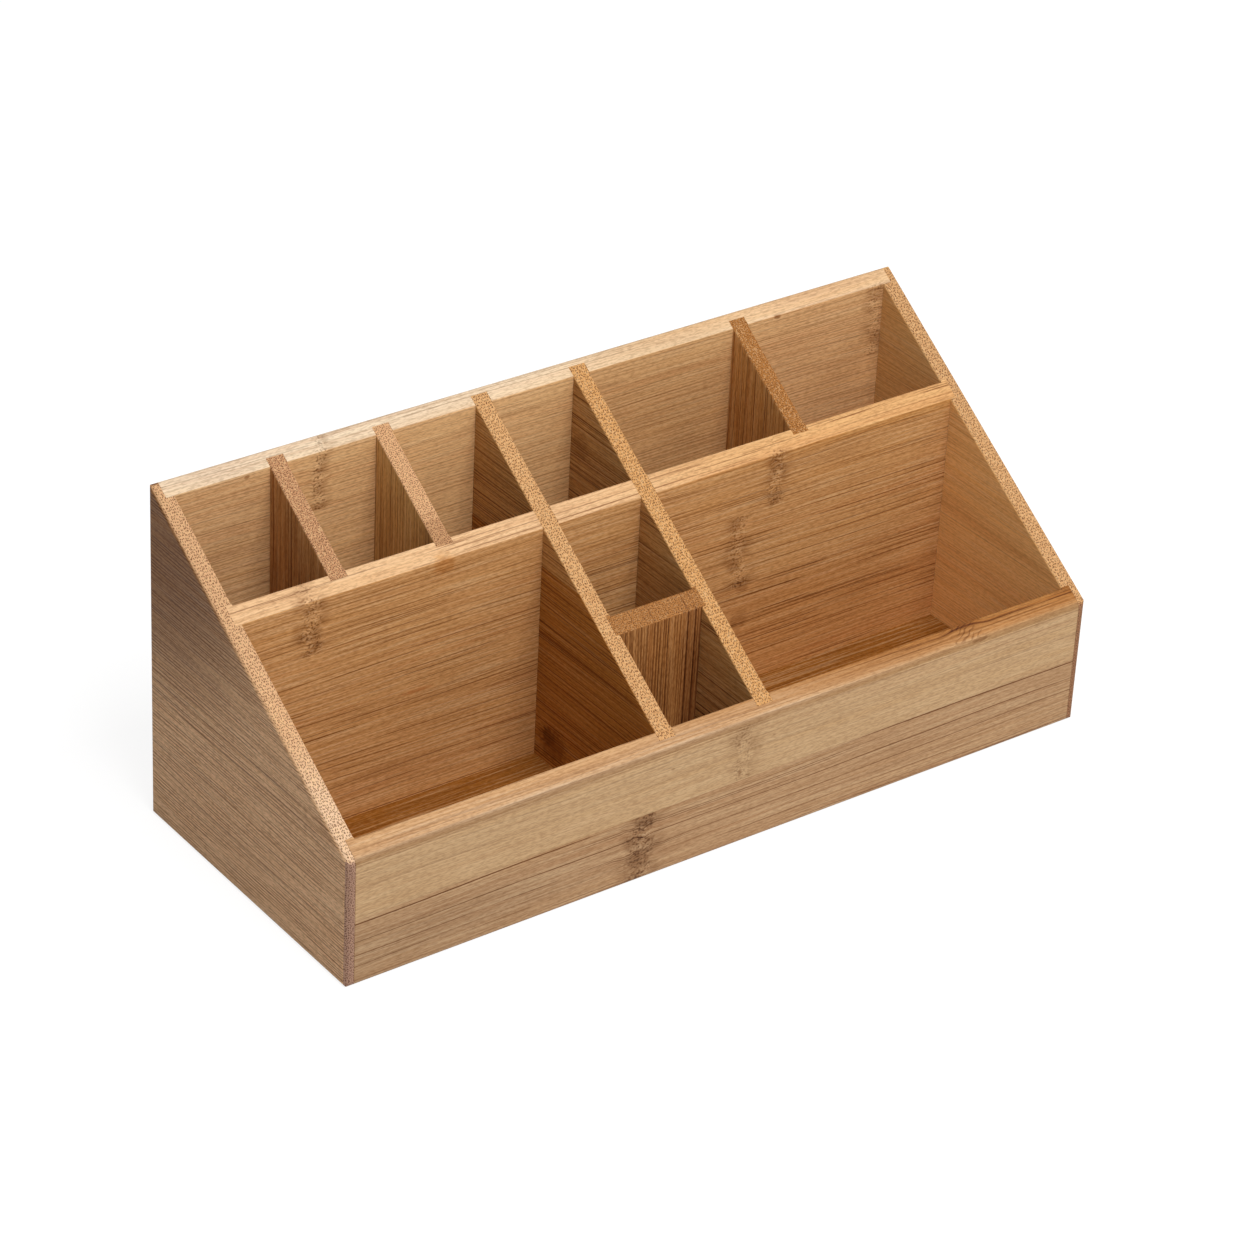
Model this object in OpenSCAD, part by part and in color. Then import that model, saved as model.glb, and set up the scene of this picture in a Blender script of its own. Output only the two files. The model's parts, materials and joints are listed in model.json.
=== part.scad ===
// Desk organizer with a sloping top, glued up from laminated bamboo boards.
// X runs left to right, Y front to back and Z up. The origin is on the ground under the middle.

/* [Heights] */
// Height of the sloping top at the outer front face, before its edge is rounded
front_h = 52; // [40:1:70]
// Height of the sloping top at the outer back face, before its edge is rounded
back_h = 138; // [100:1:180]
// Height of the floor board's underside above the ground
floor_lift = 3; // [2:0.5:8]

/* [Compartments] */
// Clear width of the first rear compartment, at the left side
cell_1_w = 39; // [25:0.5:60]
// Clear width of the second rear compartment
cell_2_w = 37.5; // [25:0.5:60]
// Clear width of the third rear compartment
cell_3_w = 36; // [25:0.5:60]
// Clear width between the two long dividers
cell_4_w = 36.5; // [25:0.5:60]
// Clear width of the fifth rear compartment
cell_5_w = 66.5; // [40:0.5:100]
// Clear width of the sixth rear compartment, at the right side
cell_6_w = 65.5; // [40:0.5:100]
// Clear depth of the rear row
rear_d = 37.5; // [25:0.5:60]
// Clear depth of the small compartment behind the front panel
small_front_d = 32; // [20:0.5:50]
// Clear depth of the small compartment in front of the cross divider
small_back_d = 32.5; // [20:0.5:50]

/* [Boards] */
// Thickness of the two sides
side_t = 7; // [6:0.5:12]
// Thickness of the front panel
front_t = 7; // [6:0.5:12]
// Thickness of the back panel
back_t = 7; // [6:0.5:12]
// Thickness of the cross divider
cross_t = 7; // [5:0.5:12]
// Thickness of the two long dividers
long_t = 7; // [5:0.5:12]
// Thickness of the three rear dividers
rear_t = 7; // [4:0.5:12]
// Thickness of the small divider
small_t = 7; // [4:0.5:12]
// Thickness of the floor board
floor_t = 5; // [3:0.5:8]

/* [Joints] */
// How deep the front and back panels are let into the sides
rabbet_d = 3.5; // [2:0.25:4]
// How deep the cross divider's ends are let into the sides
cross_housing_d = 2.5; // [1:0.25:4]
// How deep the long dividers are let into the front and back panels
long_housing_d = 3.5; // [1:0.25:4]
// How deep the rear dividers are let into the back panel
rear_back_housing_d = 3; // [1:0.25:4]
// How deep the rear dividers are let into the cross divider
rear_cross_housing_d = 2.5; // [1:0.25:3.5]
// How deep the small divider is let into the long dividers
small_housing_d = 1.75; // [1:0.25:3.5]
// How deep the floor board is let into the boards around it
floor_groove_d = 3; // [1.5:0.25:4]
// Room for glue beside a board in its slot or housing
glue_gap = 0.05; // [0.02:0.01:0.2]

/* [Edges] */
// Radius of the four upright outer corners
corner_r = 2.5; // [0.5:0.1:3]
// Radius of the outer top edge along the front
front_top_r = 4.5; // [0.5:0.1:6]
// Radius of the outer top edge along the back
back_top_r = 1.5; // [0.5:0.1:3]
// Radius of the outer top edges of the two sides
side_top_r = 1.4; // [0.3:0.1:2]
// Radius of the top edges around each compartment
rim_r = 0.6; // [0.2:0.1:1]
// Radius of the outer edges that meet the ground
foot_r = 2; // [0.3:0.1:2.5]

/* [Hidden] */

// How far a cutter runs past what it cuts
OVER = 1;
// Flats that make up one rounded corner
CORNER_STEPS = 8;

SIDE_COLOR = [0.72, 0.57, 0.40];
PANEL_COLOR = [0.80, 0.66, 0.46];
CROSS_COLOR = [0.84, 0.69, 0.48];
LONG_COLOR = [0.78, 0.61, 0.42];
REAR_COLOR = [0.74, 0.54, 0.38];
SMALL_COLOR = [0.66, 0.46, 0.30];
FLOOR_COLOR = [0.73, 0.52, 0.31];

// Faces from left to right
width = 2 * side_t + 2 * long_t + 3 * rear_t
    + cell_1_w + cell_2_w + cell_3_w + cell_4_w + cell_5_w + cell_6_w;
left_x = -width / 2;
left_in_x = left_x + side_t;
rear_1_x = left_in_x + cell_1_w;
rear_2_x = rear_1_x + rear_t + cell_2_w;
long_1_x = rear_2_x + rear_t + cell_3_w;
long_2_x = long_1_x + long_t + cell_4_w;
rear_3_x = long_2_x + long_t + cell_5_w;
right_in_x = rear_3_x + rear_t + cell_6_w;
right_x = right_in_x + side_t;

// Faces from front to back
depth = front_t + small_front_d + small_t + small_back_d + cross_t + rear_d + back_t;
front_y = -depth / 2;
front_in_y = front_y + front_t;
small_y = front_in_y + small_front_d;
cross_y = small_y + small_t + small_back_d;
cross_back_y = cross_y + cross_t;
back_in_y = cross_back_y + rear_d;
back_y = back_in_y + back_t;

// Heights
floor_top = floor_lift + floor_t;
slope = (back_h - front_h) / depth;
slope_angle = atan(slope);
slope_len = depth / cos(slope_angle);
// The long dividers and the cross divider each give up half of their height where they cross
cross_mid_top = slope_z(cross_y + cross_t / 2);
lap_z = (floor_top + cross_mid_top) / 2;

// The compartments, each as its left, right, front and back face
CELLS = [
    [left_in_x, rear_1_x, cross_back_y, back_in_y],
    [rear_1_x + rear_t, rear_2_x, cross_back_y, back_in_y],
    [rear_2_x + rear_t, long_1_x, cross_back_y, back_in_y],
    [long_1_x + long_t, long_2_x, cross_back_y, back_in_y],
    [long_2_x + long_t, rear_3_x, cross_back_y, back_in_y],
    [rear_3_x + rear_t, right_in_x, cross_back_y, back_in_y],
    [left_in_x, long_1_x, front_in_y, cross_y],
    [long_1_x + long_t, long_2_x, front_in_y, small_y],
    [long_1_x + long_t, long_2_x, small_y + small_t, cross_y],
    [long_2_x + long_t, right_in_x, front_in_y, cross_y]
];

// Height of the sloping top at a depth
function slope_z(y) = front_h + slope * (y - front_y);

function unit(v) = v / norm(v);

// Points of an outline's corner p, between its neighbours a and b, rounded with radius r
function corner(a, p, b, r) =
    let (
        u = unit(a - p),
        v = unit(b - p),
        half = acos(u * v) / 2,
        centre = p + unit(u + v) * r / sin(half),
        first = p + u * r / tan(half) - centre,
        last = p + v * r / tan(half) - centre,
        start = atan2(first[1], first[0]),
        turn = sign(cross(first, last)) * (180 - 2 * half)
    )
    [for (i = [0:CORNER_STEPS])
        let (angle = start + turn * i / CORNER_STEPS)
        centre + r * [cos(angle), sin(angle)]];

// The same points, with the last flat run on to twice its length, so that a cutter leaves the
// wood at a clear angle instead of along a face
function corner_cut(a, p, b, r) =
    let (arc = corner(a, p, b, r), last = arc[CORNER_STEPS])
    [for (i = [0:CORNER_STEPS]) i < CORNER_STEPS ? arc[i] : 2 * last - arc[i - 1]];

// A closed outline with a radius at each of its corners
function rounded(points, radii) =
    let (n = len(points))
    [for (i = [0:n - 1])
        each corner(points[(i + n - 1) % n], points[i], points[(i + 1) % n], radii[i])];

// The organizer seen from the right, as depth and height
SIDE_OUTLINE = rounded(
    [[front_y, 0], [back_y, 0], [back_y, back_h], [front_y, front_h]],
    [foot_r, foot_r, back_top_r, front_top_r]);

// The organizer seen from above
PLAN_OUTLINE = rounded(
    [[left_x, front_y], [right_x, front_y], [right_x, back_y], [left_x, back_y]],
    [corner_r, corner_r, corner_r, corner_r]);

module box(low, high) {
    translate(low) cube(high - low);
}

// The side outline as a block between two faces
module outline_block(x0, x1) {
    translate([x0, 0, 0])
        rotate([90, 0, 90])
            linear_extrude(x1 - x0) polygon(SIDE_OUTLINE);
}

// An upright board from height z0 up to the slope
module board(x0, x1, y0, y1, z0) {
    intersection() {
        outline_block(x0, x1);
        box([x0 - OVER, y0, z0], [x1 + OVER, y1, back_h + OVER]);
    }
}

// Housing or slot from height z0 up through the slope
module upright_cut(x0, x1, y0, y1, z0) {
    box([x0, y0, z0], [x1, y1, back_h + OVER]);
}

// What rounding takes off a square edge that runs along Y, with the wood at +X and -Z
module edge_waste(r, length) {
    arc = corner_cut([0, -1], [0, 0], [1, 0], r);
    translate([0, length, 0])
        rotate([90, 0, 0])
            linear_extrude(length)
                polygon(concat([[arc[CORNER_STEPS][0], OVER], [-OVER, OVER], [-OVER, -r]], arc));
}

// What rounding takes off a compartment's right top edge, which runs up the slope
module slope_rim_waste(x, y0, y1) {
    intersection() {
        translate([x, y0, slope_z(y0)])
            rotate([slope_angle, 0, 0])
                translate([0, -OVER, 0])
                    edge_waste(rim_r, (y1 - y0) / cos(slope_angle) + 2 * OVER);
        box([x - 2 * OVER, y0, slope_z(y0) - 2 * OVER], [x + 2 * OVER, y1, slope_z(y1) + 2 * OVER]);
    }
}

// What rounding takes off a compartment's front or back top edge at depth y.
// The wood is on the side of the edge that way points to, -1 for the front and 1 for the back.
module level_rim_waste(x0, x1, y, way) {
    top = slope_z(y);
    arc = corner_cut([y, top - 1], [y, top], [y + way, top + way * slope], rim_r);
    translate([x0, 0, 0])
        rotate([90, 0, 90])
            linear_extrude(x1 - x0)
                polygon(concat(arc, [
                    [arc[CORNER_STEPS][0], top + 2 * OVER],
                    [y - way * OVER, top + 2 * OVER],
                    [y - way * OVER, arc[0][1]]]));
}

// What rounding takes off the top edges around every compartment
module rim_waste() {
    for (cell = CELLS) {
        slope_rim_waste(cell[1], cell[2], cell[3]);
        mirror([1, 0, 0]) slope_rim_waste(-cell[0], cell[2], cell[3]);
        level_rim_waste(cell[0], cell[1], cell[2], -1);
        level_rim_waste(cell[0], cell[1], cell[3], 1);
    }
}

// The groove that takes the floor board, cut as one slab reaching into all four boards
module floor_cut() {
    reach = floor_groove_d + glue_gap;
    box([left_in_x - reach, front_in_y - reach, floor_lift],
        [right_in_x + reach, back_in_y + reach, floor_top + glue_gap]);
}

module side_left() {
    color(SIDE_COLOR)
    difference() {
        intersection() {
            outline_block(left_x, left_in_x);
            linear_extrude(back_h) polygon(PLAN_OUTLINE);
        }
        translate([left_x, front_y, front_h])
            rotate([slope_angle, 0, 0])
                translate([0, -OVER, 0]) edge_waste(side_top_r, slope_len + 2 * OVER);
        translate([left_x, front_y - OVER, 0])
            mirror([0, 0, 1]) edge_waste(foot_r, depth + 2 * OVER);
        // Rabbets for the front and back panels
        upright_cut(left_in_x - rabbet_d, left_in_x + OVER,
            front_y - OVER, front_in_y + glue_gap, -OVER);
        upright_cut(left_in_x - rabbet_d, left_in_x + OVER,
            back_in_y - glue_gap, back_y + OVER, -OVER);
        // Housing for the cross divider's end
        upright_cut(left_in_x - cross_housing_d, left_in_x + OVER,
            cross_y - glue_gap, cross_back_y + glue_gap, floor_top);
        rim_waste();
        floor_cut();
    }
}

module side_right() {
    mirror([1, 0, 0]) side_left();
}

module front_panel() {
    color(PANEL_COLOR)
    difference() {
        board(left_in_x - rabbet_d, right_in_x + rabbet_d, front_y - OVER, front_in_y, -OVER);
        for (x = [long_1_x, long_2_x])
            upright_cut(x - glue_gap, x + long_t + glue_gap,
                front_in_y - long_housing_d, front_in_y + OVER, floor_top);
        rim_waste();
        floor_cut();
    }
}

module back_panel() {
    color(PANEL_COLOR)
    difference() {
        board(left_in_x - rabbet_d, right_in_x + rabbet_d, back_in_y, back_y + OVER, -OVER);
        for (x = [long_1_x, long_2_x])
            upright_cut(x - glue_gap, x + long_t + glue_gap,
                back_in_y - OVER, back_in_y + long_housing_d, floor_top);
        for (x = [rear_1_x, rear_2_x, rear_3_x])
            upright_cut(x - glue_gap, x + rear_t + glue_gap,
                back_in_y - OVER, back_in_y + rear_back_housing_d, floor_top);
        rim_waste();
        floor_cut();
    }
}

module cross_divider() {
    color(CROSS_COLOR)
    difference() {
        board(left_in_x - cross_housing_d, right_in_x + cross_housing_d, cross_y, cross_back_y, floor_top);
        for (x = [long_1_x, long_2_x])
            upright_cut(x - glue_gap, x + long_t + glue_gap,
                cross_y - OVER, cross_back_y + OVER, lap_z);
        for (x = [rear_1_x, rear_2_x, rear_3_x])
            upright_cut(x - glue_gap, x + rear_t + glue_gap,
                cross_back_y - rear_cross_housing_d, cross_back_y + OVER, floor_top - OVER);
        rim_waste();
    }
}

// Long divider with its left face at x and the small divider's housing between x0 and x1
module long_divider(x, housing_x0, housing_x1) {
    color(LONG_COLOR)
    difference() {
        board(x, x + long_t, front_in_y - long_housing_d, back_in_y + long_housing_d, floor_top);
        box([x - OVER, cross_y - glue_gap, floor_top - OVER],
            [x + long_t + OVER, cross_back_y + glue_gap, lap_z]);
        upright_cut(housing_x0, housing_x1, small_y - glue_gap, small_y + small_t + glue_gap,
            floor_top - OVER);
        rim_waste();
    }
}

module long_divider_left() {
    face = long_1_x + long_t;
    long_divider(long_1_x, face - small_housing_d, face + OVER);
}

module long_divider_right() {
    long_divider(long_2_x, long_2_x - OVER, long_2_x + small_housing_d);
}

// Rear divider with its left face at x
module rear_divider(x) {
    color(REAR_COLOR)
    difference() {
        board(x, x + rear_t, cross_back_y - rear_cross_housing_d, back_in_y + rear_back_housing_d,
            floor_top);
        rim_waste();
    }
}

module small_divider() {
    color(SMALL_COLOR)
    difference() {
        board(long_1_x + long_t - small_housing_d, long_2_x + small_housing_d,
            small_y, small_y + small_t, floor_top);
        rim_waste();
    }
}

module floor_board() {
    color(FLOOR_COLOR)
    box([left_in_x - floor_groove_d, front_in_y - floor_groove_d, floor_lift],
        [right_in_x + floor_groove_d, back_in_y + floor_groove_d, floor_top]);
}

side_left();
side_right();
front_panel();
back_panel();
cross_divider();
long_divider_left();
long_divider_right();
rear_divider(rear_1_x);  // rear_divider_1
rear_divider(rear_2_x);  // rear_divider_2
rear_divider(rear_3_x);  // rear_divider_3
small_divider();
floor_board();
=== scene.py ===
"""Looks, light and camera for a desk organizer glued up from laminated bamboo boards.

Everything is in metres in the CAD's frame: X to the right, Y to the back, Z up.
The boards' shapes come from the CAD. This script gives each board its own bamboo,
whose pattern is worked out in millimetres along, across and through its grain.
"""
import json
import math
from collections.abc import Sequence
from dataclasses import dataclass

import bpy
from mathutils import Matrix, Vector

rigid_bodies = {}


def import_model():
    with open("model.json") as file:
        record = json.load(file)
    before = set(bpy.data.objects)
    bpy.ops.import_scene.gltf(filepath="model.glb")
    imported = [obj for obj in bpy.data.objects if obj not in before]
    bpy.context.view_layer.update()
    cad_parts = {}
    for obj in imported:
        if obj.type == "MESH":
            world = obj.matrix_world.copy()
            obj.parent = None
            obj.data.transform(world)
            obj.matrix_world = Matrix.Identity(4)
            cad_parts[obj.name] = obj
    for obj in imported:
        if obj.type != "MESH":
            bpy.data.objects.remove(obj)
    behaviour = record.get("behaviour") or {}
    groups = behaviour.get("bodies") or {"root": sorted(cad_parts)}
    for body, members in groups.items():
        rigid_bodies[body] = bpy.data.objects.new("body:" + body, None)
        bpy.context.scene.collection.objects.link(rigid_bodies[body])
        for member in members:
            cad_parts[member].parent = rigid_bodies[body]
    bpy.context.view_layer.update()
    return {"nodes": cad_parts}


# Colours

def paint(red, green, blue):
    """A colour given as 0 to 255 on the screen, as the linear colour that a node takes."""
    def linear(value):
        value = value / 255
        return value / 12.92 if value <= 0.04045 else ((value + 0.055) / 1.055) ** 2.4
    return (linear(red), linear(green), linear(blue), 1.0)


def grey(value):
    return (value, value, value, 1.0)


WHITE = grey(1.0)

# Colours of the boards' strips. TAN and DEEP are those of the long dividers
FRONT_LOW = paint(191, 151, 111)
FRONT_HIGH = paint(204, 167, 124)
LEFT = paint(243, 196, 149)
CROSS = paint(205, 151, 95)
BACK = paint(225, 178, 124)
TAN = paint(199, 149, 89)
DEEP = paint(186, 125, 55)
RIGHT = paint(250, 197, 128)
REAR_1 = paint(200, 144, 86)
REAR_2 = paint(220, 175, 110)
REAR_3 = paint(211, 154, 89)
FLOOR = paint(149, 94, 35)

# Pale colours that cover what lies under them
PALE_COLOUR = paint(240, 210, 166)
GLINT_COLOUR = paint(240, 200, 146)

# Tones that what lies under them is multiplied by
STREAK_TONE = (0.64, 0.52, 0.42, 1.0)
FIBRE_TONE = (0.44, 0.35, 0.28, 1.0)
LINE_TONE = (0.31, 0.19, 0.115, 1.0)
TICK_TONE = (0.34, 0.26, 0.22, 1.0)
VEIL_TONE = (0.56, 0.46, 0.38, 1.0)
SEAM_TONE = (0.62, 0.52, 0.44, 1.0)
ROSE = (1.0, 0.91, 0.86, 1.0)
HONEY = (1.0, 0.94, 0.82, 1.0)
BURNISH_TONE = (0.60, 0.49, 0.37, 1.0)
UPRIGHT_CUT_TONE = (0.56, 0.49, 0.55, 1.0)
RUST = (0.80, 0.48, 0.30, 1.0)
UMBER = (0.50, 0.38, 0.30, 1.0)
AMBER = (0.84, 0.68, 0.48, 1.0)


# What a board looks like

@dataclass
class Ring:
    """A growth ring of the cane, which crosses one strip of a board from low to high."""
    at: float
    low: float
    high: float
    width: float
    strength: float


@dataclass
class Mark:
    """A patch with its middle at a place along the board and a height across it. Its colour
    multiplies what lies under it."""
    at: float
    height: float
    half_length: float
    half_width: float
    strength: float
    colour: tuple


@dataclass
class Knot:
    """A knot, whose middle also has a depth, measured through the board's thickness."""
    at: float
    height: float
    depth: float
    half_length: float
    half_width: float
    strength: float


def tone(at, height, half_length, half_width, *factors):
    """A large soft patch that multiplies red, green and blue by one factor each."""
    return Mark(at, height, half_length, half_width, 1.0, (*factors, 1.0))


@dataclass
class Board:
    """One board's axes, strips and marks, in millimetres, and the strengths of its layers.
    The fibres run along the first axis, the strips lie side by side across the second, and
    the third is the thickness. Strips are listed from the bottom edge up, each with its upper
    edge, its colour and the strengths of its soft streaks and of its long dark lines."""
    along: str
    across: str
    through: str
    bottom: float
    strips: Sequence
    rings: Sequence = ()
    knots: Sequence = ()
    spots: Sequence = ()
    # Slow changes of tone, and on the left side a painted shade
    tones_and_painted_shade: Sequence = ()
    # Broad bands of tone, short fibres left by sanding, pale streaks and close even ribs
    bands: float = 0.5
    fibres: float = 0.35
    pale: float = 0.18
    ribs: float = 0.25
    # 1 where the long lines hardly break off, and how far one line in five stands out
    dense: float = 0.0
    rare: float = 0.3
    # Glue lines between the strips
    seams: float = 0.4
    # Colour of a sloping top that the grain runs along, and its long lines, left and right
    top: tuple = None
    top_lines: tuple = (0.6, 0.6)
    # The worn tone of the rounded front edge
    burnished: float = 0.0
    # Cut ends: pale grains between the dots, the ground, the ground near the front where it
    # differs there, and the dots
    glint: float = 0.3
    end_ground: tuple = paint(211, 160, 107)
    end_front: tuple = None
    end_dots: tuple = paint(96, 54, 26)


BOARDS = {
    "side_left": Board(
        "Y", "Z", "X", -2,
        [(31, LEFT, 0.1, 0.5), (60, LEFT, 0.15, 0.5), (88, LEFT, 0.1, 0.5),
         (140, LEFT, 0.15, 0.5)],
        bands=0.2, fibres=0.5, ribs=1.0, dense=1.0, rare=0.1, seams=0.15,
        end_ground=paint(216, 169, 125), end_front=paint(230, 193, 157),
        end_dots=paint(108, 66, 36),
        # Painted shade: the left side is darkest at its rear top and gets lighter towards its
        # front bottom
        tones_and_painted_shade=[tone(70, 135, 85, 75, 0.38, 0.29, 0.21)]),
    "side_right": Board(
        "Y", "Z", "X", -2,
        [(28, RIGHT, 0.3, 0.3), (57, RIGHT, 0.2, 0.3), (86, RIGHT, 0.3, 0.3),
         (140, RIGHT, 0.3, 0.4)],
        fibres=0.25, seams=0.15, end_ground=paint(201, 151, 102),
        tones_and_painted_shade=[tone(48, 110, 40, 50, 0.80, 0.80, 0.80)]),
    "front_panel": Board(
        "X", "Z", "Y", -2,
        [(27.5, FRONT_LOW, 0.3, 0.95), (60, FRONT_HIGH, 0.1, 0.25)],
        bands=0.3, fibres=0.3, ribs=0.12, dense=0.7, rare=0.35, seams=0.12,
        top=paint(212, 157, 98), top_lines=(0.4, 1.0), burnished=0.8,
        rings=[Ring(-39.5, -2, 27.5, 13, 1.0), Ring(4, 28, 51, 10, 0.55)],
        knots=[Knot(109, 54, -62, 12, 6, 0.4)],
        spots=[Mark(0, 49.4, 3000, 0.5, 0.35, UMBER),
               Mark(-41, 9, 7, 7, 0.8, VEIL_TONE),
               Mark(-40, 23, 6, 4, 0.5, VEIL_TONE),
               Mark(1.8, 43.3, 1.2, 0.8, 0.6, UMBER),
               Mark(17.7, 42.6, 1.0, 0.7, 0.5, UMBER),
               Mark(3, 31, 1.2, 2.4, 0.5, UMBER),
               Mark(-27.6, 43, 1.0, 0.7, 0.5, UMBER),
               Mark(113.5, 51.5, 5, 0.8, 0.6, UMBER)],
        tones_and_painted_shade=[tone(-165, 12, 110, 14, 0.90, 0.92, 0.95),
               tone(165, 57, 185, 5, 0.64, 0.47, 0.27),
               tone(-70, 54, 200, 3.5, 0.95, 1.03, 1.25),
               tone(-161.6, 26, 0.35, 60, 0.5, 0.42, 0.36),
               tone(161.6, 26, 0.35, 60, 0.5, 0.42, 0.36)]),
    "back_panel": Board(
        "X", "Z", "Y", -2,
        [(26, BACK, 0.3, 0.5), (52, BACK, 0.25, 0.5), (78, BACK, 0.3, 0.5),
         (104, BACK, 0.25, 0.5), (140, BACK, 0.25, 0.45)],
        top=paint(241, 214, 178), top_lines=(0.4, 0.4), seams=0.25, ribs=0.4,
        rings=[Ring(155, 104, 134, 8, 0.8), Ring(-99, 110, 134, 6, 1.0),
               Ring(-97, 134, 140, 5, 0.7)],
        spots=[Mark(-128.6, 132, 1.6, 0.9, 0.8, UMBER),
               Mark(106.6, 133, 2, 1.1, 0.95, UMBER)],
        tones_and_painted_shade=[tone(150, 140, 130, 7, 0.93, 0.82, 0.71),
               tone(-105, 139, 140, 6, 1.0, 1.09, 1.24),
               tone(52, 85, 50, 60, 0.84, 0.78, 0.72),
               tone(125, 85, 40, 60, 0.92, 0.87, 0.86),
               tone(-140, 85, 28, 60, 0.92, 0.90, 0.92)]),
    "cross_divider": Board(
        "X", "Z", "Y", 6,
        [(24, CROSS, 0.4, 1.0), (51, CROSS, 0.45, 1.0), (82.5, CROSS, 0.35, 1.0),
         (112, CROSS, 0.35, 0.8)],
        top=paint(238, 196, 150),
        rings=[Ring(-130, 82, 105, 9, 1.0), Ring(-131, 105, 112, 7, 0.45),
               Ring(76, 82, 105, 8, 0.9), Ring(75, 105, 112, 6, 0.35),
               Ring(59, 51, 82, 9, 0.9)],
        spots=[Mark(-74, 102, 6, 4.5, 0.8, AMBER),
               Mark(-85, 53, 9, 1.0, 0.5, RUST),
               Mark(62, 50, 4, 2.0, 0.5, UMBER),
               Mark(61, 36, 6, 5.0, 0.4, UMBER)],
        tones_and_painted_shade=[tone(150, 106, 140, 6, 0.95, 0.85, 0.66),
               tone(95, 20, 90, 30, 0.93, 0.84, 0.74)]),
    "long_divider_left": Board(
        "Y", "Z", "X", 6,
        [(33, DEEP, 0.25, 1.0), (60, DEEP, 0.25, 1.0), (88, DEEP, 0.25, 1.0),
         (140, TAN, 0.25, 1.0)],
        bands=0.4, dense=1.0, seams=0.3, pale=0.1, ribs=0.55, rare=0.2,
        spots=[Mark(2, 18, 11, 9, 0.8, UMBER),
               Mark(5, 20, 5, 5, 0.6, UMBER)]),
    "long_divider_right": Board(
        "Y", "Z", "X", 6,
        [(30, TAN, 0.25, 1.0), (57, TAN, 0.25, 1.0), (86, TAN, 0.25, 0.9),
         (140, TAN, 0.25, 1.0)],
        bands=0.4, dense=1.0, seams=0.3, ribs=0.5, rare=0.2,
        end_ground=paint(209, 154, 95),
        spots=[Mark(52, 107, 6, 7, 0.45, VEIL_TONE)]),
    "rear_divider_1": Board(
        "Z", "Y", "X", 10,
        [(31, REAR_1, 0.4, 1.0), (64, REAR_1, 0.6, 1.0)],
        glint=0.35, end_ground=paint(190, 140, 101), end_dots=paint(90, 52, 30)),
    "rear_divider_2": Board(
        "Z", "Y", "X", 10,
        [(29, REAR_2, 0.6, 1.0), (64, REAR_2, 0.6, 1.0)],
        end_ground=paint(213, 163, 120), end_dots=paint(100, 60, 36),
        spots=[Mark(105, 22, 60, 7, 0.55, VEIL_TONE)]),
    "rear_divider_3": Board(
        "Z", "Y", "X", 10,
        [(36, REAR_3, 0.6, 1.0), (64, REAR_3, 0.6, 1.0)],
        glint=0.25, end_ground=paint(164, 105, 49), end_dots=paint(88, 48, 20)),
    "small_divider": Board(
        "Z", "X", "Y", -30,
        [(-12, paint(180, 125, 72), 0.6, 1.0), (4, paint(175, 118, 65), 0.6, 1.0),
         (16, paint(165, 109, 60), 0.7, 1.0)],
        dense=1.0, pale=0.05, fibres=0.5, ribs=0.9, glint=0.15,
        spots=[Mark(40, 9.4, 60, 0.6, 1.0, UMBER),
               Mark(44, 6.1, 60, 0.5, 0.9, UMBER),
               Mark(30, -2.4, 60, 0.4, 0.7, UMBER),
               Mark(48, -9.0, 60, 0.5, 0.8, UMBER),
               Mark(36, -17.2, 60, 0.4, 0.8, UMBER)],
        end_ground=paint(168, 112, 58), end_dots=paint(84, 46, 22)),
    "floor_board": Board(
        "X", "Y", "Z", -64,
        [(-38, FLOOR, 0.5, 0.6), (-12, FLOOR, 0.5, 0.5), (14, FLOOR, 0.5, 0.6),
         (40, FLOOR, 0.5, 0.5), (64, FLOOR, 0.5, 0.5)],
        seams=0.3),
}


# Nodes

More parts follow.
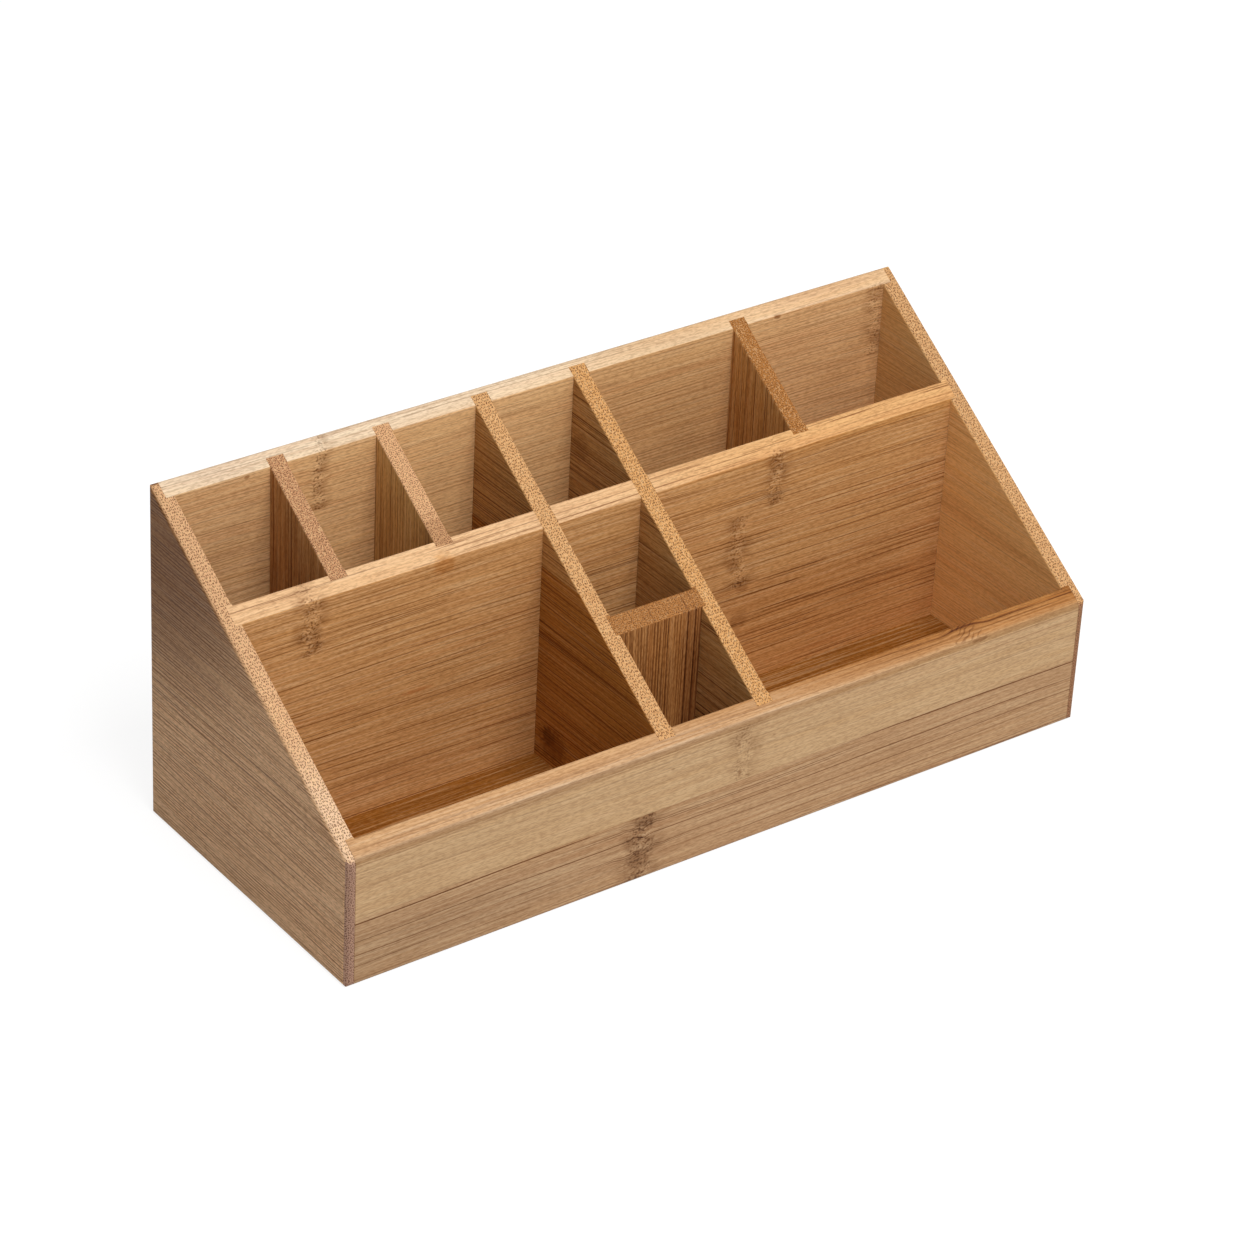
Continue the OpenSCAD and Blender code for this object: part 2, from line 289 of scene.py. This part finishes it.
class Graph:
    """Builds one tree of nodes, from inputs that are values or other nodes' sockets."""

    def __init__(self, tree):
        self.tree = tree
        tree.nodes.clear()

    def add(self, kind, inputs=None, **settings):
        """A new node, with its inputs given by name or by number."""
        node = self.tree.nodes.new("ShaderNode" + kind)
        for name, value in settings.items():
            setattr(node, name, value)
        for key, value in (inputs or {}).items():
            if isinstance(value, bpy.types.NodeSocket):
                self.tree.links.new(value, node.inputs[key])
            else:
                node.inputs[key].default_value = value
        return node

    def math(self, operation, *values):
        return self.add("Math", dict(enumerate(values)), operation=operation).outputs[0]

    def plus(self, a, b):
        return self.math("ADD", a, b)

    def minus(self, a, b):
        return self.math("SUBTRACT", a, b)

    def times(self, a, b):
        return self.math("MULTIPLY", a, b)

    def over(self, a, b):
        return self.math("DIVIDE", a, b)

    def smaller(self, a, b):
        return self.math("MINIMUM", a, b)

    def larger(self, a, b):
        return self.math("MAXIMUM", a, b)

    def size(self, value):
        return self.math("ABSOLUTE", value)

    def vector(self, x, y, z):
        return self.add("CombineXYZ", {"X": x, "Y": y, "Z": z}).outputs[0]

    def split_vector(self, value):
        return self.add("SeparateXYZ", {"Vector": value}).outputs

    def split_colour(self, value):
        return self.add("SeparateColor", {"Color": value}).outputs

    def fade(self, value, start, end):
        """0 before start and 1 after end, and the other way round where end comes first."""
        inputs = {"Value": value, "From Min": start, "From Max": end}
        return self.add("MapRange", inputs, interpolation_type="SMOOTHSTEP").outputs["Result"]

    def noise(self, point, detail=0.0, roughness=0.5):
        """A value and a colour that vary smoothly over about 1 unit of the point's place.
        They stay within about 0.25 to 0.75, so a fade between two such values decides how
        much of a board a layer covers."""
        inputs = {"Vector": point, "Scale": 1.0, "Detail": detail, "Roughness": roughness}
        return self.add("TexNoise", inputs).outputs

    def ramp(self, value, stops, interpolation="LINEAR"):
        """Colour and alpha for a value, from stops that are places with their colours."""
        node = self.add("ValToRGB", {"Fac": value})
        node.color_ramp.interpolation = interpolation
        elements = node.color_ramp.elements
        elements.remove(elements[1])
        elements[0].position, elements[0].color = stops[0]
        for position, colour in stops[1:]:
            elements.new(position).color = colour
        return node.outputs

    def mix(self, amount, first, second, blend="MIX"):
        """Blends two colours by an amount from 0 to 1."""
        inputs = {0: amount, 6: first, 7: second}
        return self.add("Mix", inputs, data_type="RGBA", blend_type=blend).outputs[2]


# Bamboo

MM_PER_METRE = 1000.0
MIDDLE = 0.5
ROUGH = 0.6

# Each strip has its own number from 0 to 1, spread by the golden ratio
FIRST_SEED = 0.17
SEED_STEP = 0.618

# How far a strip's fibres stray, in millimetres, but for the lean, which is a slope
LEAN = 0.012
SWAY_ACROSS = 2.0
SWAY_THROUGH = 0.8
RING_BEND = 2.5

# Distances in millimetres that take each strip to its own part of the pattern
SHIFT_ACROSS = 97.0
SHIFT_THROUGH = 31.0

# Length and thickness of what follows the fibres, in millimetres
BAND_SIZE = (220.0, 4.0)
STREAK_SIZE = (42.0, 0.75)
FIBRE_SIZE = (2.5, 0.42)
RIB_PATCH_SIZE = (24.0, 2.2)
LINE_STRETCH_SIZE = (38.0, 1.1)
CURL_SIZE = (5.0, 2.5)
STROKE_PATCH_SIZE = (3.0, 1.0)
TICK_SIZE = (1.1, 0.75)

# Features to a millimetre, along a board and across it, of what doesn't follow the fibres
SWAY_SCALES = (1 / 80, 1 / 18)
BEND_SCALES = (0.22, 0.3)
WOBBLE_SCALES = (0.02, 0.14)
RING_PATCH_SCALES = (1 / 7, 1 / 4)
RAGGED_SCALES = (0.5, 0.9)
RAGGED_LAYER = 3.0

# Features to a millimetre, along the fibres and across them, of the pale grains on cut ends
GLINT_SCALES = (0.2, 1.7)

# Values of the noise at which each layer starts to show and at which it is full
DARK_BANDS = (0.50, 0.36)
DARK_STREAKS = (0.50, 0.64)
PALE_STREAKS = (0.47, 0.36)
DARK_FIBRES = (0.46, 0.62)
PALE_FIBRES = (0.46, 0.36)
RIB_PATCHES = (0.30, 0.56)
LINE_STRETCHES = (0.40, 0.52)
RING_PATCHES = (0.34, 0.66)
DARK_TICKS = (0.54, 0.64)
PALE_TICKS = (0.44, 0.36)
GLINTS = (0.54, 0.66)
OPEN_FIBRES = (0.3, 0.7)
BAND_TINTS = [(0.30, ROSE), (0.44, WHITE), (0.56, WHITE), (0.70, HONEY)]

# Parts of a normal at which each kind of face starts and at which it is full
CUT_END = (0.25, 0.5)
UPRIGHT_FACE = (0.6, 0.3)
SLOPING_FACE = (0.45, 0.80)
FRONTWARD_FACE = (-0.45, -0.58)
ROUNDING_FOOT = (0.06, 0.22)
ROUNDING_HEAD = (0.62, 0.48)

# Places along a board, in millimetres, between which its looks change
TOP_CHANGE = (-20.0, 110.0)
FRONT_CHANGE = (-20.0, -50.0)

# Squared distances, in a mark's half sizes, at which it starts to show and at which it is full
KNOT_REACH = (1.0, 0.0)
TONE_REACH = (1.6, 0.0)
SPOT_REACH = (1.5, 0.6)

# Half a glue line, in millimetres, from where it starts to show to where it is full
GLUE_LINE = (0.40, 0.15)

# The same for a growth ring's core and for its veil, and its wobble, as parts of its width
RING_CORE = (0.65, 0.15)
RING_VEIL = (1.1, 0.2)
RING_WOBBLE = 0.8

# How softly a ring ends at its strip's edges, in millimetres, and how strong its parts are
RING_END_SOFTNESS = 0.5
VEIL_STRENGTH = 0.8
DARK_TICK_STRENGTH = 0.8
PALE_TICK_STRENGTH = 0.15

# Fibre bundles: spacing and radius in millimetres, as lines and as dots, and which ones show
LINE_BUNDLES = (0.92, 0.23)
DOT_BUNDLES = (0.64, 0.19)
BUNDLE_EDGE = (1.2, 0.8)
RARE_BUNDLES = (0.74, 0.86)
RARE_WIDENING = 0.6
COMMON_BUNDLES = (0.0, 0.6)
LINE_LENGTHENING = 0.20
DOT_SCATTER = 0.7
DOT_STRENGTH = (0.7, 0.25)

# Ribs and strokes are waves, of which only the crests are drawn
WAVE_CREST = (0.1, 0.9)
RIB_SPACING = 1.25
RIB_SLANT = 0.9
RIB_WANDER = 1.8
STROKE_TURNS = (2.0, -4.0)
STROKE_CURL = 12.0
STROKE_RAGGEDNESS = 0.9
STROKE_REACH = (1.05, 0.65)
STROKE_STRENGTH = 0.6

# A sloping top: how strong its colour and streaks are, how much weaker its ribs are than a
# face's, and the strength of its lines beyond which it has ribs of its own
TOP_COVER = 0.8
TOP_STREAKS = 0.3
TOP_CALM = 0.6
LINES_WITHOUT_RIBS = 0.6

# How dark the bands get, and how far the ground of a cut end hides the strips
BAND_SHADE = 0.18
GROUND_COVER = 0.88

# The surface. Roughness is given as the least and what open fibres add, the bump in metres
ROUGHNESS = (0.42, 0.14)
REFRACTION = 1.46
SHEEN = 0.12
FIBRE_RELIEF = 0.7
BUMP_STRENGTH = 0.35
BUMP_DEPTH = 0.00008


class Bamboo(Graph):
    """The material of one board. Its colour is built up layer by layer, from the strips to
    the marks on the finished surface. Places are in millimetres. The flat ones are straight
    lines of the board, and those called across and through follow the fibres."""

    def __init__(self, name, board):
        self.material = bpy.data.materials.new(name)
        self.material.use_nodes = True
        super().__init__(self.material.node_tree)
        self.board = board
        here = self.add("TexCoord").outputs
        axes = self.split_vector(here["Object"])
        self.normal = self.split_vector(here["Normal"])
        self.along = self.times(axes[board.along], MM_PER_METRE)
        self.flat_across = self.times(axes[board.across], MM_PER_METRE)
        self.flat_through = self.times(axes[board.through], MM_PER_METRE)
        self.rib_strength = board.ribs
        self.cores = 0.0
        self.veils = 0.0
        self.lay_strips()
        if board.rings:
            self.find_growth_rings()
        self.lay_fibres()
        self.part_fibres_at_knots()
        self.find_faces()
        self.find_grain()
        if board.top:
            self.colour_sloping_top()
        self.add_bands()
        self.add_streaks()
        self.add_short_fibres()
        self.add_ribs()
        self.add_long_lines()
        for knot in board.knots:
            self.add_knot_strokes(knot)
        for patch in board.tones_and_painted_shade:
            self.add_tone_and_painted_shade(patch)
        self.colour_cut_ends()
        if board.rings:
            self.draw_growth_rings()
        self.darken(self.times(self.glue_line, board.seams), SEAM_TONE)
        if board.spots:
            self.add_spots()
        if board.burnished:
            self.burnish_front_edge()
        self.finish_surface()

    def darken(self, amount, tint):
        self.colour = self.mix(amount, self.colour, tint, "MULTIPLY")

    def cover(self, amount, colour):
        self.colour = self.mix(amount, self.colour, colour)

    def centred(self, value):
        """A value from 0 to 1, moved to lie around 0."""
        return self.minus(value, MIDDLE)

    def flat_noise(self, along_scale, across_scale, layer):
        """Noise at a place on the board, with a number that picks one of its layers."""
        return self.noise(self.vector(self.times(self.along, along_scale),
                                      self.times(self.flat_across, across_scale), layer))

    def grain(self, length, thickness, detail=0.0, roughness=0.5):
        """Noise that is drawn out along the fibres."""
        point = self.vector(self.times(self.along, 1 / length),
                            self.times(self.across, 1 / thickness),
                            self.times(self.through, 1 / thickness))
        return self.noise(point, detail, roughness)[0]

    def far_from(self, mark):
        """Squared distance from a mark's middle, in its own half sizes."""
        x = self.over(self.minus(self.along, mark.at), mark.half_length)
        y = self.over(self.minus(self.flat_across, mark.height), mark.half_width)
        return self.plus(self.times(x, x), self.times(y, y))

    def bundles(self, spacing, radius, rare=0.0, scatter=1.0):
        """Fibre bundles running along the grain: dots on cut ends and long lines on faces.
        Rare is how much wider and stronger one bundle in five is than the others."""
        point = self.vector(self.across, self.through, 0.0)
        inputs = {"Vector": point, "Scale": 1 / spacing, "Randomness": scatter}
        cell = self.add("TexVoronoi", inputs, voronoi_dimensions="2D").outputs
        kinds = self.split_colour(cell["Color"])
        strong = self.fade(kinds[1], *RARE_BUNDLES)
        reach = self.plus(self.times(strong, radius * rare * RARE_WIDENING), radius)
        distance = self.over(self.times(cell["Distance"], spacing), reach)
        weight = self.plus(self.times(self.fade(kinds[0], *COMMON_BUNDLES), 1.0 - rare),
                           self.times(strong, rare))
        return self.fade(distance, *BUNDLE_EDGE), weight

    # Where the strips, rings, fibres and faces are

    def lay_strips(self):
        """Colour, seed and strengths of the strip that a point lies in, and the glue lines."""
        bottom = self.board.bottom
        strips = self.board.strips
        height = strips[-1][0] - bottom
        edge = bottom
        colours = []
        strengths = []
        for number, (upper_edge, colour, streaks, lines) in enumerate(strips):
            start = (edge - bottom) / height
            seed = (FIRST_SEED + SEED_STEP * number) % 1.0
            colours.append((start, colour[:3] + (seed,)))
            strengths.append((start, (streaks, lines, 0.0, 1.0)))
            edge = upper_edge
        place = self.over(self.minus(self.flat_across, bottom), height)
        self.colour, self.seed = self.ramp(place, colours, "CONSTANT")
        strength = self.split_colour(self.ramp(place, strengths, "CONSTANT")["Color"])
        self.streak_strength = strength[0]
        self.line_strength = strength[1]
        self.glue_line = 0.0
        for strip in strips[:-1]:
            distance = self.size(self.minus(self.flat_across, strip[0]))
            self.glue_line = self.larger(self.fade(distance, *GLUE_LINE), self.glue_line)

    def find_growth_rings(self):
        """1 in the cores of the growth rings, and 1 in the wider veils around them."""
        along_scale, across_scale = WOBBLE_SCALES
        point = self.vector(self.times(self.flat_across, across_scale),
                            self.times(self.along, along_scale), self.seed)
        wobble = self.centred(self.noise(point)[0])
        soft = RING_END_SOFTNESS
        for ring in self.board.rings:
            shifted = self.plus(self.along, self.times(wobble, ring.width * RING_WOBBLE))
            away = self.size(self.minus(shifted, ring.at))
            above = self.fade(self.flat_across, ring.low - soft, ring.low + soft)
            below = self.fade(self.flat_across, ring.high + soft, ring.high - soft)
            inside = self.times(self.smaller(above, below), ring.strength)
            core = self.fade(away, *(ring.width * reach for reach in RING_CORE))
            veil = self.fade(away, *(ring.width * reach for reach in RING_VEIL))
            self.cores = self.larger(self.times(core, inside), self.cores)
            self.veils = self.larger(self.times(veil, inside), self.veils)

    def lay_fibres(self):
        """Fibres lean and sway a little, in each strip in its own way, and bend at the rings."""
        sway = self.split_colour(self.flat_noise(*SWAY_SCALES, self.seed)["Color"])
        lean = self.times(self.centred(self.seed), LEAN)
        across = self.plus(self.flat_across, self.times(self.along, lean))
        across = self.plus(across, self.times(self.centred(sway[0]), SWAY_ACROSS))
        across = self.plus(across, self.times(self.seed, SHIFT_ACROSS))
        if self.board.rings:
            bend = self.centred(self.flat_noise(*BEND_SCALES, self.seed)[0])
            across = self.plus(across, self.times(self.times(bend, self.veils), RING_BEND))
        through = self.plus(self.flat_through, self.times(self.centred(sway[1]), SWAY_THROUGH))
        self.across = across
        self.through = self.plus(through, self.times(self.seed, SHIFT_THROUGH))

    def part_fibres_at_knots(self):
        """The fibres part to go round a knot."""
        for knot in self.board.knots:
            part = self.times(self.fade(self.far_from(knot), *KNOT_REACH), knot.strength)
            beside = self.minus(self.flat_across, knot.height)
            inward = self.minus(self.flat_through, knot.depth)
            self.across = self.minus(self.across, self.times(part, beside))
            self.through = self.minus(self.through, self.times(part, inward))

    def find_faces(self):
        """Which kind of face a point lies on, from the direction in which the face looks."""
        facing = self.size(self.normal[self.board.along])
        upwards = self.normal["Z"]
        self.cut_end = self.fade(facing, *CUT_END)
        self.long_face = self.minus(1.0, self.cut_end)
        self.upright_cut = self.times(self.fade(upwards, *UPRIGHT_FACE), self.cut_end)
        self.sloping_top = self.times(self.fade(upwards, *SLOPING_FACE), self.long_face)

    def find_grain(self):
        """The grain that more than one layer uses."""
        self.bands = self.grain(*BAND_SIZE, detail=1.0, roughness=ROUGH)
        self.streaks = self.grain(*STREAK_SIZE, detail=1.0, roughness=ROUGH)
        length, thickness = FIBRE_SIZE
        point = self.vector(self.times(self.along, 1 / length),
                            self.times(self.flat_across, 1 / thickness),
                            self.times(self.flat_through, 1 / thickness))
        self.fine = self.noise(point, detail=1.0, roughness=ROUGH)[0]

    # Layers of the colour, from the lowest up

    def colour_sloping_top(self):
        """A sloping top has its own colour, lines that change from left to right, and ribs
        where the lines are strongest."""
        top = self.sloping_top
        self.cover(self.times(top, TOP_COVER), self.board.top)
        left_lines, right_lines = self.board.top_lines
        lines = self.times(self.fade(self.along, *TOP_CHANGE), right_lines - left_lines)
        lines = self.times(top, self.plus(lines, left_lines))
        calm_ribs = self.times(self.minus(1.0, self.times(top, TOP_CALM)), self.rib_strength)
        self.rib_strength = self.larger(calm_ribs, self.minus(lines, LINES_WITHOUT_RIBS))
        self.line_strength = self.larger(self.line_strength, lines)
        self.streak_strength = self.larger(self.streak_strength, self.times(top, TOP_STREAKS))

    def add_bands(self):
        """Broad bands of tone."""
        strength = self.board.bands
        self.darken(strength, self.ramp(self.bands, BAND_TINTS)["Color"])
        shade = self.times(self.fade(self.bands, *DARK_BANDS), BAND_SHADE * strength)
        self.darken(shade, STREAK_TONE)

    def add_streaks(self):
        """Soft long streaks, darker and paler than the strip."""
        dark = self.times(self.fade(self.streaks, *DARK_STREAKS), self.streak_strength)
        pale = self.times(self.fade(self.streaks, *PALE_STREAKS), self.board.pale)
        self.darken(dark, STREAK_TONE)
        self.cover(pale, PALE_COLOUR)

    def add_short_fibres(self):
        """Short fibres that sanding has left on the surface."""
        strength = self.board.fibres
        dark = self.times(self.fade(self.fine, *DARK_FIBRES), strength)
        pale = self.times(self.fade(self.fine, *PALE_FIBRES), strength * self.board.pale)
        self.darken(dark, FIBRE_TONE)
        self.cover(pale, PALE_COLOUR)

    def add_ribs(self):
        """Close even ribs, where a cutter has run along the fibres."""
        place = self.plus(self.across, self.times(self.through, RIB_SLANT))
        turns = self.plus(self.times(place, 1 / RIB_SPACING), self.times(self.bands, RIB_WANDER))
        rib = self.fade(self.math("SINE", self.times(turns, 2 * math.pi)), *WAVE_CREST)
        shown = self.fade(self.grain(*RIB_PATCH_SIZE, detail=1.0), *RIB_PATCHES)
        rib = self.times(self.times(rib, shown), self.long_face)
        self.darken(self.times(rib, self.rib_strength), FIBRE_TONE)

    def add_long_lines(self):
        """Fibre bundles, as long thin lines that come and go."""
        line, weight = self.bundles(*LINE_BUNDLES, self.board.rare)
        longer = LINE_LENGTHENING * self.board.dense
        start, full = LINE_STRETCHES
        shown = self.fade(self.grain(*LINE_STRETCH_SIZE), start - longer, full - longer)
        line = self.times(self.times(self.times(line, weight), shown), self.long_face)
        self.darken(self.times(line, self.line_strength), LINE_TONE)

    def add_knot_strokes(self, knot):
        """Short oblique strokes on the sloping top, where the fibres close behind a knot."""
        x = self.minus(self.along, knot.at)
        y = self.minus(self.flat_through, knot.depth)
        curl = self.times(self.grain(*CURL_SIZE, detail=1.0), STROKE_CURL)
        along_turn, inward_turn = STROKE_TURNS
        place = self.plus(self.times(x, along_turn), self.times(y, inward_turn))
        stroke = self.fade(self.math("SINE", self.plus(place, curl)), *WAVE_CREST)
        ragged = self.times(self.grain(*STROKE_PATCH_SIZE), STROKE_RAGGEDNESS)
        away = self.plus(self.over(self.size(x), knot.half_length), ragged)
        stroke = self.times(stroke, self.fade(away, *STROKE_REACH))
        stroke = self.times(stroke, self.sloping_top)
        self.darken(self.times(stroke, STROKE_STRENGTH), LINE_TONE)

    def add_tone_and_painted_shade(self, patch):
        """A slow change of tone over a board. The left side's patch is painted shade, darkest at
        its rear top.
        """
        inside = self.fade(self.far_from(patch), *TONE_REACH)
        self.darken(self.times(inside, patch.strength), patch.colour)

    def colour_cut_ends(self):
        """Cut ends show the bundles as a dense stipple on a pale ground."""
        board = self.board
        dots, weight = self.bundles(*DOT_BUNDLES, scatter=DOT_SCATTER)
        faintest, spread = DOT_STRENGTH
        stipple = self.times(self.times(dots, self.cut_end),
                             self.plus(self.times(weight, spread), faintest))
        ground = board.end_ground
        if board.end_front:
            ground = self.mix(self.fade(self.along, *FRONT_CHANGE), ground, board.end_front)
        self.cover(self.times(self.cut_end, GROUND_COVER), ground)
        self.cover(stipple, board.end_dots)
        along_scale, cross_scale = GLINT_SCALES
        point = self.vector(self.times(self.across, cross_scale),
                            self.times(self.through, cross_scale),
                            self.times(self.along, along_scale))
        glint = self.times(self.fade(self.noise(point)[0], *GLINTS), self.cut_end)
        self.cover(self.times(glint, board.glint), GLINT_COLOUR)
        self.darken(self.upright_cut, UPRIGHT_CUT_TONE)

    def draw_growth_rings(self):
        """A growth ring is a cloudy dark veil with short dark and pale ticks in its core."""
        patches = self.fade(self.flat_noise(*RING_PATCH_SCALES, self.seed)[0], *RING_PATCHES)
        ticks = self.grain(*TICK_SIZE, detail=1.0)
        dark = self.times(self.fade(ticks, *DARK_TICKS), self.cores)
        pale = self.times(self.fade(ticks, *PALE_TICKS), self.cores)
        self.darken(self.times(self.times(patches, self.veils), VEIL_STRENGTH), VEIL_TONE)
        self.darken(self.times(dark, DARK_TICK_STRENGTH), TICK_TONE)
        self.cover(self.times(pale, PALE_TICK_STRENGTH), PALE_COLOUR)

    def add_spots(self):
        """Spots and short dark lines with ragged edges."""
        ragged = self.flat_noise(*RAGGED_SCALES, RAGGED_LAYER)[0]
        for spot in self.board.spots:
            inside = self.fade(self.plus(self.far_from(spot), ragged), *SPOT_REACH)
            self.darken(self.times(inside, spot.strength), spot.colour)

    def burnish_front_edge(self):
        """The front edge, rounded by hand sanding, has picked up a darker, burnished tone."""
        rounded = self.smaller(self.fade(self.normal["Z"], *ROUNDING_FOOT),
                               self.fade(self.normal["Z"], *ROUNDING_HEAD))
        rounded = self.times(rounded, self.fade(self.normal["Y"], *FRONTWARD_FACE))
        self.darken(self.times(rounded, self.board.burnished), BURNISH_TONE)

    def finish_surface(self):
        """Satin finish, duller where the fibres are open."""
        smoothest, spread = ROUGHNESS
        open_fibres = self.fade(self.streaks, *OPEN_FIBRES)
        roughness = self.plus(self.times(open_fibres, spread), smoothest)
        height = self.minus(self.times(self.fine, FIBRE_RELIEF), self.glue_line)
        bump = self.add("Bump", {"Strength": BUMP_STRENGTH, "Distance": BUMP_DEPTH,
                                 "Height": height})
        shader = self.add("BsdfPrincipled", {"Base Color": self.colour, "Roughness": roughness,
                                             "Normal": bump.outputs["Normal"],
                                             "IOR": REFRACTION, "Specular IOR Level": SHEEN})
        self.add("OutputMaterial", {"Surface": shader.outputs["BSDF"]})


# Setting

LENS = 129.84
SENSOR_WIDTH = 36.0
CAMERA_AT = Vector((-0.85889, -1.11815, 0.91302))
CAMERA_TURN = math.radians(-37.444)
CAMERA_TILT = math.radians(31.164)
CAMERA_ROLL = math.radians(3.054)

# Name, place, size and power of the lamps, and the point that they face
SOFTBOXES = [("main", (-0.05, -1.0, 1.45), 1.1, 25.0),
             ("right", (1.4, -0.7, 1.1), 1.0, 6.0)]
LIT_POINT = Vector((0, 0, 0.05))
AMBIENT = 0.27

FLOOR_REACH = 6.0
FLOOR_LEVEL = -0.0001
FLOOR_GREY = 0.55
FLOOR_GREY_IN_VIEW = 0.25
FLOOR_GLOW = 0.87


def clear_startup_scene():
    for thing in list(bpy.data.objects):
        bpy.data.objects.remove(thing)


def finish_boards(nodes):
    for name, board in BOARDS.items():
        nodes[name].material_slots[0].material = Bamboo(name + "_bamboo", board).material


def place_camera():
    """A centred camera where the photograph's perspective puts it."""
    back = Vector((math.sin(CAMERA_TURN) * math.cos(CAMERA_TILT),
                   -math.cos(CAMERA_TURN) * math.cos(CAMERA_TILT),
                   math.sin(CAMERA_TILT)))
    level = Vector((math.cos(CAMERA_TURN), math.sin(CAMERA_TURN), 0.0))
    upright = back.cross(level)
    right = math.cos(CAMERA_ROLL) * level + math.sin(CAMERA_ROLL) * upright
    up = math.cos(CAMERA_ROLL) * upright - math.sin(CAMERA_ROLL) * level
    rotation = Matrix((right, up, back)).transposed().to_4x4()
    data = bpy.data.cameras.new("camera")
    data.sensor_width = SENSOR_WIDTH
    data.lens = LENS
    camera = bpy.data.objects.new("camera", data)
    bpy.context.collection.objects.link(camera)
    camera.matrix_world = Matrix.Translation(CAMERA_AT) @ rotation
    bpy.context.scene.camera = camera


def add_softbox(name, at, size, power):
    data = bpy.data.lights.new(name, "AREA")
    data.shape = "RECTANGLE"
    data.size = size
    data.size_y = size
    data.energy = power
    lamp = bpy.data.objects.new(name, data)
    lamp.location = at
    lamp.rotation_euler = (LIT_POINT - Vector(at)).to_track_quat("-Z", "Y").to_euler()
    bpy.context.collection.objects.link(lamp)


def seen_directly(graph):
    """1 for rays from the camera and for those that gloss or glass sends on."""
    path = graph.add("LightPath").outputs
    reflected = graph.larger(path["Is Camera Ray"], path["Is Glossy Ray"])
    return graph.larger(reflected, path["Is Transmission Ray"])


def mix_by_view(graph, hidden, seen):
    """A shader for rays that light the scene, and another one for those that see it."""
    inputs = {0: seen_directly(graph), 1: hidden.outputs[0], 2: seen.outputs[0]}
    return graph.add("MixShader", inputs).outputs[0]


def light_room():
    """A white background, an even light that is weaker than it looks, and two softboxes."""
    world = bpy.data.worlds.new("room")
    world.use_nodes = True
    bpy.context.scene.world = world
    graph = Graph(world.node_tree)
    ambient = graph.add("Background", {"Color": WHITE, "Strength": AMBIENT})
    white = graph.add("Background", {"Color": WHITE, "Strength": 1.0})
    graph.add("OutputWorld", {"Surface": mix_by_view(graph, ambient, white)})
    for softbox in SOFTBOXES:
        add_softbox(*softbox)


def add_floor():
    """A pale floor that the camera sees as white, with the organizer's shadow on it."""
    material = bpy.data.materials.new("pale_floor")
    material.use_nodes = True
    graph = Graph(material.node_tree)
    floor = graph.add("BsdfDiffuse", {"Color": grey(FLOOR_GREY)})
    shaded = graph.add("BsdfDiffuse", {"Color": grey(FLOOR_GREY_IN_VIEW)})
    glow = graph.add("Emission", {"Color": WHITE, "Strength": FLOOR_GLOW})
    white = graph.add("AddShader", {0: shaded.outputs[0], 1: glow.outputs[0]})
    graph.add("OutputMaterial", {"Surface": mix_by_view(graph, floor, white)})
    mesh = bpy.data.meshes.new("floor")
    corners = [(x * FLOOR_REACH, y * FLOOR_REACH, FLOOR_LEVEL)
               for x, y in ((-1, -1), (1, -1), (1, 1), (-1, 1))]
    mesh.from_pydata(corners, [], [(0, 1, 2, 3)])
    plane = bpy.data.objects.new("floor", mesh)
    plane.data.materials.append(material)
    bpy.context.collection.objects.link(plane)


clear_startup_scene()
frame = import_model()
finish_boards(frame["nodes"])
place_camera()
light_room()
add_floor()
bpy.context.scene.view_settings.view_transform = "Standard"
